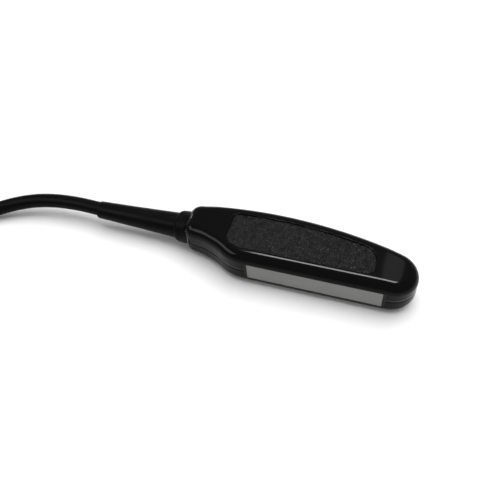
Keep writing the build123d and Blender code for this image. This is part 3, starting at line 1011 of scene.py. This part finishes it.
    def build(self, half: Half, finishes: Finishes) -> bpy.types.Object:
        """Makes one half: its grid less the window's opening, closed at the floor's middle and given a wall.

        Args:
            half: which half.
            finishes: the probe's finishes.

        Returns:
            The shell.
        """
        points, window_row, grip_row = self.surface()
        rows, columns = points.shape[:2]
        x = (self.outline.points[:, 0] + np.roll(self.outline.points[:, 0], -1)) / 2
        near = np.abs(self.outline.points[:, 1] - self.outline.lens_y) < self.flat_tolerance
        keep = np.ones((rows - 1, columns), bool)
        keep[:window_row, near & (x > self.opening[0]) & (x < self.opening[1])] = False
        quads = grid_faces(rows, columns).reshape(rows - 1, columns, 4)[keep]
        in_grip = np.broadcast_to(np.arange(rows - 1)[:, None] >= grip_row, keep.shape)[keep]
        last_row = (rows - 1) * columns + np.arange(columns)
        fan = np.stack([last_row, np.roll(last_row, -1), np.full(columns, rows * columns)], axis=1)
        flat = np.concatenate([points.reshape(-1, 3), points[-1].mean(axis=0, keepdims=True)])
        if half is Half.LOWER:
            flat = flat * [1, 1, -1] + [0, 0, 2 * self.middle]
            quads, fan = quads[:, ::-1], fan[:, ::-1]
        node = f"{half.value}_shell"
        shell = make_piece(f"{half.value}_moulding", flat, [*quads, *fan])
        numbers = np.concatenate([in_grip.astype(np.int32), np.ones(columns, np.int32)])
        finishes.dress(shell, Finishes.HOUSING, Finishes.GRIP)
        shell.data.polygons.foreach_set("material_index", numbers)
        thick = shell.modifiers.new("wall", "SOLIDIFY")
        thick.thickness = self.wall
        thick.offset = -1.0
        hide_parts(node)
        return shell


@dataclass
class LensWindow:
    """The silicone acoustic lens, a bar with finely rounded edges."""

    edge_round: float = 0.25 * MM
    edge_steps: int = 6

    def build(self, finishes: Finishes) -> bpy.types.Object:
        """Carries a rounded rectangle along the lens's length, drawn in by a quarter circle at each end.

        Args:
            finishes: the probe's finishes.

        Returns:
            The lens.
        """
        low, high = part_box("acoustic_lens")
        size = high - low
        section = rounded_rectangle(size.y, size.z, self.edge_round, self.edge_steps)
        bend = quarter(self.edge_steps)
        begin = low.x + self.edge_round * (1 - np.sin(bend))
        drawn = self.edge_round * (1 - np.cos(bend))
        stations = np.concatenate([begin[::-1], high.x - (begin - low.x)])
        inset = np.concatenate([drawn[::-1], drawn])
        lens = carried("lens_window", stations, section, inset, (low + high) / 2)
        finishes.dress(lens, Finishes.LENS)
        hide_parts("acoustic_lens")
        return lens


@dataclass
class Collar:
    """The turned ring between housing and boot, with a grey lip at the housing, its grey a painted highlight
    along the joint.
    """

    radius: float = 8.1 * MM
    flare_radius: float = 8.4 * MM
    flare_length: float = 0.9 * MM
    lip_radius: float = 9.25 * MM
    lip_set: float = 3.0 * MM
    bore: float = 3.6 * MM
    boot_inset: float = 1.2 * MM
    dome_length: float = 2.6 * MM
    dome_depth: float = 1.2 * MM
    lip_width: float = 0.6 * MM
    lip_rise: float = 0.2 * MM
    seat_depth: float = 4.2 * MM
    arc_steps: int = 9

    def build(self, finishes: Finishes) -> bpy.types.Object:
        """Turns the ring: a quarter ellipse at the boot, widening to the lip, then seated in the neck.

        Args:
            finishes: the probe's finishes.

        Returns:
            The collar.
        """
        low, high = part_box("neck_collar")
        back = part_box("upper_shell")[0].x
        start = low.x + self.boot_inset
        seat = back + self.seat_depth
        dome_centre = (start + self.dome_length, self.radius - self.dome_depth)
        dome = profile_arc(dome_centre, (self.dome_length, self.dome_depth), 180, 90, self.arc_steps)
        lip_centre = (back + self.lip_set, self.lip_radius)
        lip = profile_arc(lip_centre, (self.lip_width / 2, self.lip_rise), 180, 0, self.arc_steps)
        side = np.vstack([(start, self.bore), dome, (lip[0, 0] - self.flare_length, self.flare_radius)])
        profile = np.vstack([side, lip, (seat, self.radius), (seat, self.bore)])
        collar = turned("collar_ring", profile, (low + high) / 2)
        row = np.repeat(np.arange(len(profile)), len(collar.data.polygons) // len(profile))
        # The lip's faces take the grey of the painted highlight
        on_lip_painted_highlight = (row >= len(side)) & (row < len(side) + len(lip) - 1)
        finishes.dress(collar, Finishes.COLLAR, Finishes.LIP_PAINTED_HIGHLIGHT)
        collar.data.polygons.foreach_set("material_index", on_lip_painted_highlight.astype(np.int32))
        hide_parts("neck_collar")
        return collar


@dataclass
class Boot:
    """The tapered strain relief, rounded where the cable leaves it."""

    root_radius: float = 6.7 * MM
    tip_radius: float = 4.6 * MM
    bore: float = 3.5 * MM
    hollow: float = 0.1 * MM
    tip_round: float = 0.5 * MM
    tip_end_angle: float = 95.0
    rows: int = 24

    def build(self, finishes: Finishes) -> bpy.types.Object:
        """Turns a long taper with a slight hollow.

        The radius is the line from tip to root less hollow times 4 t (1 - t), with t from 0 to 1 along it.

        Args:
            finishes: the probe's finishes.

        Returns:
            The boot.
        """
        low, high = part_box("strain_relief_boot")
        share = np.linspace(0.0, 1.0, self.rows)
        start = low.x + self.tip_round
        x = start + share * (high.x - start)
        line = self.tip_radius + share * (self.root_radius - self.tip_radius)
        taper = np.stack([x, line - 4 * self.hollow * share * (1 - share)], axis=1)
        tip_centre = (start, self.tip_radius - self.tip_round)
        tip = profile_arc(tip_centre, self.tip_round, 180, self.tip_end_angle)
        profile = np.vstack([(low.x, self.bore), tip, taper[1:], (high.x, self.bore)])
        boot = turned("tapered_boot", profile, (low + high) / 2)
        finishes.dress(boot, Finishes.BOOT)
        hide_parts("strain_relief_boot")
        return boot


@dataclass
class Lead:
    """The cable: out of the boot, down to the table and into a hank of turns that ends in the plug.

    The route's points are in millimetres. The shares say how far along the hank's straight runs their points
    are, and the climb and the move how much of a step up or out has been made there.
    """

    diameter: float = 7.5 * MM
    length: float = 1.75
    loop_points: int = 8
    tie_gap: float = 6.0 * MM
    tail_leads: tuple[float, float] = (6.0 * MM, 20.0 * MM)
    near_route: tuple[Point, ...] = (
        (-37.7, 2.8, 10.0),
        (-100.0, 2.8, 10.0),
        (-118.0, 4.0, 9.9),
        (-134.0, 3.2, 9.5),
        (-147.0, 0.6, 8.6),
        (-160.0, -4.4, 6.8),
        (-174.0, -12.6, 4.6),
        (-192.0, -17.6, 4.5),
        (-211.0, -18.0, 4.75),
    )
    near_shares: tuple[float, ...] = (0.12, 0.45, 0.85)
    near_climb: tuple[float, ...] = (0.0, 0.45, 1.0)
    far_shares: tuple[float, ...] = (0.15, 0.5, 0.85)
    far_move: tuple[float, ...] = (0.0, 0.5, 1.0)
    last_lift: float = 0.3

    def __post_init__(self) -> None:
        """Reads the hank's runs from the frame."""
        low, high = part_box("cable_hank")
        tail_low, tail_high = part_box("cable_tail")
        self.tail_end = tail_high.x
        self.left = tail_low.x
        self.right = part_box("hank_tie")[1].x + self.tie_gap
        self.middle = (low.y + high.y) / 2
        self.outer = (high.y - low.y - self.diameter) / 2
        self.inner = self.outer - self.diameter
        self.first_layer = low.z + self.diameter / 2
        self.tail_z = (tail_low.z + tail_high.z) / 2

    @staticmethod
    def run(
        start: float, end: float, shares: Sequence[float], y: float | Array, z: float | Array
    ) -> Array:
        """Control points of a straight run along X.

        Args:
            start: X where the run starts.
            end: X where it ends.
            shares: how far along it each point is.
            y: Y of all points or of each.
            z: Z of all points or of each.

        Returns:
            The points.
        """
        return np.stack(np.broadcast_arrays(start + np.array(shares) * (end - start), y, z), axis=1)

    def half_turn(self, centre_x: float, start: float, radius: Array, height: Array) -> Array:
        """Control points of half a turn about (centre_x, middle), clockwise seen from above.

        Args:
            centre_x: X of the loop's centre.
            start: angle at which the half turn begins.
            radius: radius at each point.
            height: height at each point.

        Returns:
            The points, pushed out a little so that the spline's own radius is the one asked for.
        """
        angle = start - (np.arange(self.loop_points) + 0.5) * np.pi / self.loop_points
        push = 1 / math.cos(np.pi / self.loop_points / 2)
        x = centre_x + push * radius * np.cos(angle)
        return np.stack([x, self.middle + push * radius * np.sin(angle), height], axis=1)

    def hank(self) -> Array:
        """Control points of the hank.

        The cable lies two wide and three high. The first turn is outside, the next two inside, the next two
        outside and the last inside, and each moves over or up on its own stretch, so that no turn meets
        another: the first moves in late on the right loop, the second climbs early on that loop, the third
        moves out on the far run, the fourth climbs late on the left loop, the fifth moves in early on the
        left loop, and the last climbs on the near run.

        Returns:
            The points from the near run's start to the plug.
        """
        share = (np.arange(self.loop_points) + 0.5) / self.loop_points
        early, late = np.clip(2 * share, 0, 1), np.clip(2 * share - 1, 0, 1)
        still = np.zeros_like(share)
        step = self.diameter
        rings_and_layers = ((0, 0), (1, 0), (1, 1), (0, 1), (0, 2), (1, 2))
        last = len(rings_and_layers) - 1
        left = {3: (still, late), 4: (early, still), last: (still, self.last_lift * share)}
        far = {2: step}
        right = {0: (late, still), 1: (still, early)}
        points = []
        for turn, (ring, layer) in enumerate(rings_and_layers):
            climb = step if turn == last else 0.0
            radius, height = self.outer - ring * step, self.first_layer + layer * step
            rise = np.array(self.near_climb) * climb
            near_y = self.middle - radius
            points.append(self.run(self.right, self.left, self.near_shares, near_y, height + rise))
            height += climb
            move, lift = left.get(turn, (still, still))
            points.append(self.half_turn(self.left, -np.pi / 2, radius - move * step, height + lift * step))
            if turn == last:
                break
            radius, height = radius - move[-1].round() * step, height + lift[-1].round() * step
            out = far.get(turn, 0.0)
            far_y = self.middle + radius + np.array(self.far_move) * out
            points.append(self.run(self.left, self.right, self.far_shares, far_y, height))
            radius += out
            move, lift = right.get(turn, (still, still))
            points.append(self.half_turn(self.right, np.pi / 2, radius - move * step, height + lift * step))
        tail_x = [*(self.left + lead for lead in self.tail_leads), self.tail_end]
        points.append(np.array([(x, self.middle + self.inner, self.tail_z) for x in tail_x]))
        return np.concatenate(points)

    def build(self, finishes: Finishes) -> bpy.types.Object:
        """Makes the cable as one open spline along route and hank, as thick as its points' own radius.

        Args:
            finishes: the probe's finishes.

        Returns:
            The cable.
        """
        points = np.concatenate([np.array(self.near_route) * MM, self.hank()])
        curve = bpy.data.curves.new("cable_line", "CURVE")
        curve.dimensions = "3D"
        curve.bevel_depth = 1.0
        curve.bevel_resolution = 6
        curve.resolution_u = 6
        curve.use_fill_caps = True
        spline = curve.splines.new("NURBS")
        spline.points.add(len(points) - 1)
        spline.points.foreach_set("co", np.column_stack([points, np.ones(len(points))]).ravel())
        spline.points.foreach_set("radius", np.full(len(points), self.diameter / 2))
        spline.order_u = 3
        spline.use_endpoint_u = True
        cable = add_object("cable_line", curve)
        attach(cable, BODY)
        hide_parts("cable", "cable_hank", "cable_tail")
        finishes.dress(cable, Finishes.CABLE)
        return cable


@dataclass
class HankTie:
    """The hook-and-loop strap round the hank's near run."""

    corner: float = 4.2 * MM
    thickness: float = 1.0 * MM
    lip: float = 0.3 * MM
    corner_steps: int = 9
    lip_steps: int = 4

    def build(self, finishes: Finishes) -> bpy.types.Object:
        """Carries the strap's rounded section round a rounded rectangle in the YZ plane.

        A point is the path's point less the section's depth times the path's outward direction, at the
        section's X.

        Args:
            finishes: the probe's finishes.

        Returns:
            The strap.
        """
        low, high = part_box("hank_tie")
        middle = (low + high) / 2
        path, outward = rounded_rectangle(high.y - low.y, high.z - low.z, self.corner, self.corner_steps)
        section, _ = rounded_rectangle(high.x - low.x, self.thickness, self.lip, self.lip_steps)
        depth = self.thickness / 2 - section[:, 1]
        ring = path[:, None, :] - depth[None, :, None] * outward[:, None, :]
        x = np.broadcast_to(middle.x + section[None, :, :1], (len(path), len(section), 1))
        points = np.concatenate([x, ring + [middle.y, middle.z]], axis=2).reshape(-1, 3)
        faces = grid_faces(len(path) + 1, len(section)) % len(points)
        tie = make_piece("hank_strap", points, faces)
        finishes.dress(tie, Finishes.TIE)
        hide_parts("hank_tie")
        return tie


@dataclass
class Plug:
    """The plug's rounded housing with grip grooves, and its ringed boot."""

    corner: float = 2.5 * MM
    front_round: float = 0.5 * MM
    rear_round: float = 1.6 * MM
    round_steps: int = 7
    groove: float = 0.45 * MM
    groove_pitch: float = 3.0 * MM
    groove_lead: float = 4.0 * MM
    groove_steps: int = 12
    grooves: int = 5
    boot_tip: float = 4.6 * MM
    boot_root: float = 5.6 * MM
    boot_bore: float = 3.5 * MM
    boot_rings: int = 4
    ring_half_depth: float = 0.25 * MM
    rings_from: float = 0.18
    rings_share: float = 0.64
    boot_rows: int = 60
    boot_steps: int = 48

    def housing(self, finishes: Finishes) -> bpy.types.Object:
        """Carries a rounded rectangle along X, drawn in at both ends and in a row of cosine grip grooves.

        Args:
            finishes: the probe's finishes.

        Returns:
            The plug's housing.
        """
        low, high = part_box("plug_housing")
        size = high - low
        section = rounded_rectangle(size.y, size.z, self.corner)
        bend = quarter(self.round_steps)
        rear = low.x + self.rear_round
        start = rear + self.groove_lead
        end = start + self.grooves * self.groove_pitch
        ridged = np.linspace(start, end, self.groove_steps * self.grooves + 1)
        wave = self.groove * (1 - np.cos((ridged - ridged[0]) / self.groove_pitch * 2 * np.pi)) / 2
        stations = np.concatenate([
            rear - self.rear_round * np.sin(bend[::-1]),
            ridged,
            high.x - self.front_round * (1 - np.sin(bend)),
        ])
        inset = np.concatenate([
            self.rear_round * (1 - np.cos(bend[::-1])),
            wave,
            self.front_round * (1 - np.cos(bend)),
        ])
        case = carried("plug_case", stations, section, inset, (low + high) / 2)
        finishes.dress(case, Finishes.PLUG)
        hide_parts("plug_housing")
        return case

    def boot(self, finishes: Finishes) -> bpy.types.Object:
        """Turns a taper with shallow rings: the line from tip to root less a cosine wave over its middle.

        Args:
            finishes: the probe's finishes.

        Returns:
            The plug's boot.
        """
        low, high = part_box("plug_boot")
        share = np.linspace(0.0, 1.0, self.boot_rows)
        ringed = np.clip((share - self.rings_from) / self.rings_share, 0, 1)
        wave = self.ring_half_depth * (1 - np.cos(ringed * self.boot_rings * 2 * np.pi))
        radius = self.boot_tip + share * (self.boot_root - self.boot_tip) - wave
        taper = np.stack([low.x + share * (high.x - low.x), radius], axis=1)
        profile = np.vstack([(low.x, self.boot_bore), taper, (high.x, self.boot_bore)])
        boot = turned("ringed_plug_boot", profile, (low + high) / 2, self.boot_steps)
        finishes.dress(boot, Finishes.BOOT)
        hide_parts("plug_boot")
        return boot


class CarriedNodes:
    """The CAD nodes that keep their own meshes."""

    def dress(self, finishes: Finishes) -> None:
        """Gives each carried-over node its own procedural finish.

        Args:
            finishes: the probe's finishes.
        """
        for node, finish in Finishes.NODES.items():
            finishes.dress(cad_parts[node], finish)
            LOG.info("%s: %s", node, finish.name)


# The table, the lamps and the camera


def standing(right: Vector, up: Vector, back: Vector, place: Vector) -> Matrix:
    """Matrix of a lamp or camera at a place, from its own three axes."""
    return Matrix.Translation(place) @ Matrix((right, up, back)).transposed().to_4x4()


@dataclass
class Softbox:
    """One rectangular lamp: its middle, what it faces, its size in metres, its power in watts and its use."""

    name: str
    place: Point
    aim: Point
    size: tuple[float, float]
    power: float
    use: LampUse

    def build(self) -> bpy.types.Object:
        """Makes the lamp, with its first side level, or along X where it faces straight down.

        Returns:
            The lamp.
        """
        data = bpy.data.lights.new(self.name, "AREA")
        data.shape = "RECTANGLE"
        data.size, data.size_y = self.size
        data.energy = self.power
        lamp = add_object(self.name, data)
        back = (Vector(self.place) - Vector(self.aim)).normalized()
        right = Vector((1, 0, 0))
        if abs(back.z) < STRAIGHT_DOWN:
            right = Vector((0, 0, 1)).cross(back).normalized()
        lamp.matrix_world = standing(right, back.cross(right), back, Vector(self.place))
        lamp.visible_diffuse = self.use is LampUse.LIGHT
        lamp.visible_glossy = self.use is LampUse.GLINT
        return lamp


@dataclass
class Studio:
    """The white table, the soft light and the camera at the photograph's angle."""

    floor_size: float = 12.0
    floor_steps: int = 9
    floor_colour: Colour = (0.95, 0.95, 0.95, 1.0)
    floor_roughness: float = 0.9
    sky_colour: Colour = (1.0, 1.0, 1.0, 1.0)
    sky: float = 0.42
    seen_sky: float = 0.45
    azimuth: float = 23.188
    elevation: float = 52.0
    roll: float = -7.036
    distance: float = 273.93 * MM
    target: Point = (-19.53 * MM, -3.43 * MM, 10.0 * MM)
    lens: float = 40.32
    nearest: float = 0.01
    lamps: tuple[Softbox, ...] = (
        Softbox("main_softbox", (0.1, 0.36, 0.85), (0.1, 0.36, 0.0), (1.0, 1.1), 11.2, LampUse.LIGHT),
        Softbox("rim_strip", (0.02, 0.31, 0.75), (0.02, 0.31, 0.0), (0.46, 0.2), 12.5, LampUse.GLINT),
        Softbox("left_card", (-0.741, -0.38, 0.715), (-0.035, 0.0, 0.02), (0.7, 0.34), 4.3, LampUse.GLINT),
        Softbox("nose_card", (0.19, 0.72, 0.97), (0.05, 0.0, 0.0), (0.26, 0.3), 0.42, LampUse.GLINT),
    )

    def table(self) -> bpy.types.Object:
        """Lays the floor as a flat grid, with Principled white that keeps the object's shadow.

        Returns:
            The floor.
        """
        side = np.linspace(-self.floor_size / 2, self.floor_size / 2, self.floor_steps)
        x, y = np.meshgrid(side, side)
        points = np.stack([x, y, np.zeros_like(x)], axis=-1).reshape(-1, 3)
        faces = grid_faces(self.floor_steps, self.floor_steps, closed=False)
        mesh = bpy.data.meshes.new("table")
        mesh.from_pydata(points.tolist(), [], faces.tolist())
        floor = add_object("table", mesh)
        material = bpy.data.materials.new("white table")
        material.use_nodes = True
        shader = material.node_tree.nodes["Principled BSDF"]
        shader.inputs["Base Color"].default_value = self.floor_colour
        shader.inputs["Roughness"].default_value = self.floor_roughness
        shader.inputs["Specular IOR Level"].default_value = 0.0
        mesh.materials.append(material)
        return floor

    def light(self) -> None:
        """Hangs the lamps under an even sky, which is paler where the camera and polished surfaces see it."""
        world = bpy.data.worlds.new("soft studio")
        world.use_nodes = True
        tree = world.node_tree
        background = tree.nodes["Background"].inputs
        background["Color"].default_value = self.sky_colour
        rays = tree.nodes.new("ShaderNodeLightPath").outputs
        seen = math_node(tree, "ADD", rays["Is Camera Ray"], rays["Is Glossy Ray"])
        seen = math_node(tree, "ADD", seen, rays["Is Transmission Ray"])
        strength = ramp_node(tree, seen, (0.0, 1.0), (self.sky, self.seen_sky))
        feed(tree, background["Strength"], strength)
        bpy.context.scene.world = world
        for lamp in self.lamps:
            lamp.build()
        bpy.context.scene.view_settings.view_transform = "Standard"

    def camera(self) -> bpy.types.Object:
        """Stands the camera round its target by azimuth, elevation and roll.

        Returns:
            The camera.
        """
        azimuth, elevation, roll = map(math.radians, (self.azimuth, self.elevation, self.roll))
        away = math.cos(elevation)
        back = Vector((math.sin(azimuth) * away, -math.cos(azimuth) * away, math.sin(elevation)))
        level = Vector((math.cos(azimuth), math.sin(azimuth), 0.0))
        upright = back.cross(level)
        right = math.cos(roll) * level + math.sin(roll) * upright
        up = math.cos(roll) * upright - math.sin(roll) * level
        data = bpy.data.cameras.new("camera")
        data.lens = self.lens
        data.clip_start = self.nearest
        camera = add_object("camera", data)
        camera.matrix_world = standing(right, up, back, Vector(self.target) + self.distance * back)
        bpy.context.scene.camera = camera
        return camera


def report(piece: bpy.types.Object) -> bpy.types.Object:
    """Logs a piece that has been built and passes it on."""
    LOG.info("%s: %d faces", piece.name, len(getattr(piece.data, "polygons", ())))
    return piece


def main() -> None:
    """Builds the probe's pieces in order, then the studio."""
    logging.basicConfig(level=logging.INFO, format="%(name)s %(message)s")
    finishes = Finishes()
    studio = Studio()
    studio.camera()
    lead = Lead()
    cable = report(lead.build(finishes))
    housing = Housing()
    for half in Half:
        report(housing.build(half, finishes))
    report(LensWindow().build(finishes))
    report(Collar().build(finishes))
    boot = report(Boot().build(finishes))
    tie = report(HankTie().build(finishes))
    plug = Plug()
    plug_pieces = [report(plug.housing(finishes)), report(plug.boot(finishes))]
    CarriedNodes().dress(finishes)
    studio.table()
    studio.light()


if __name__ == "__main__":
    main()
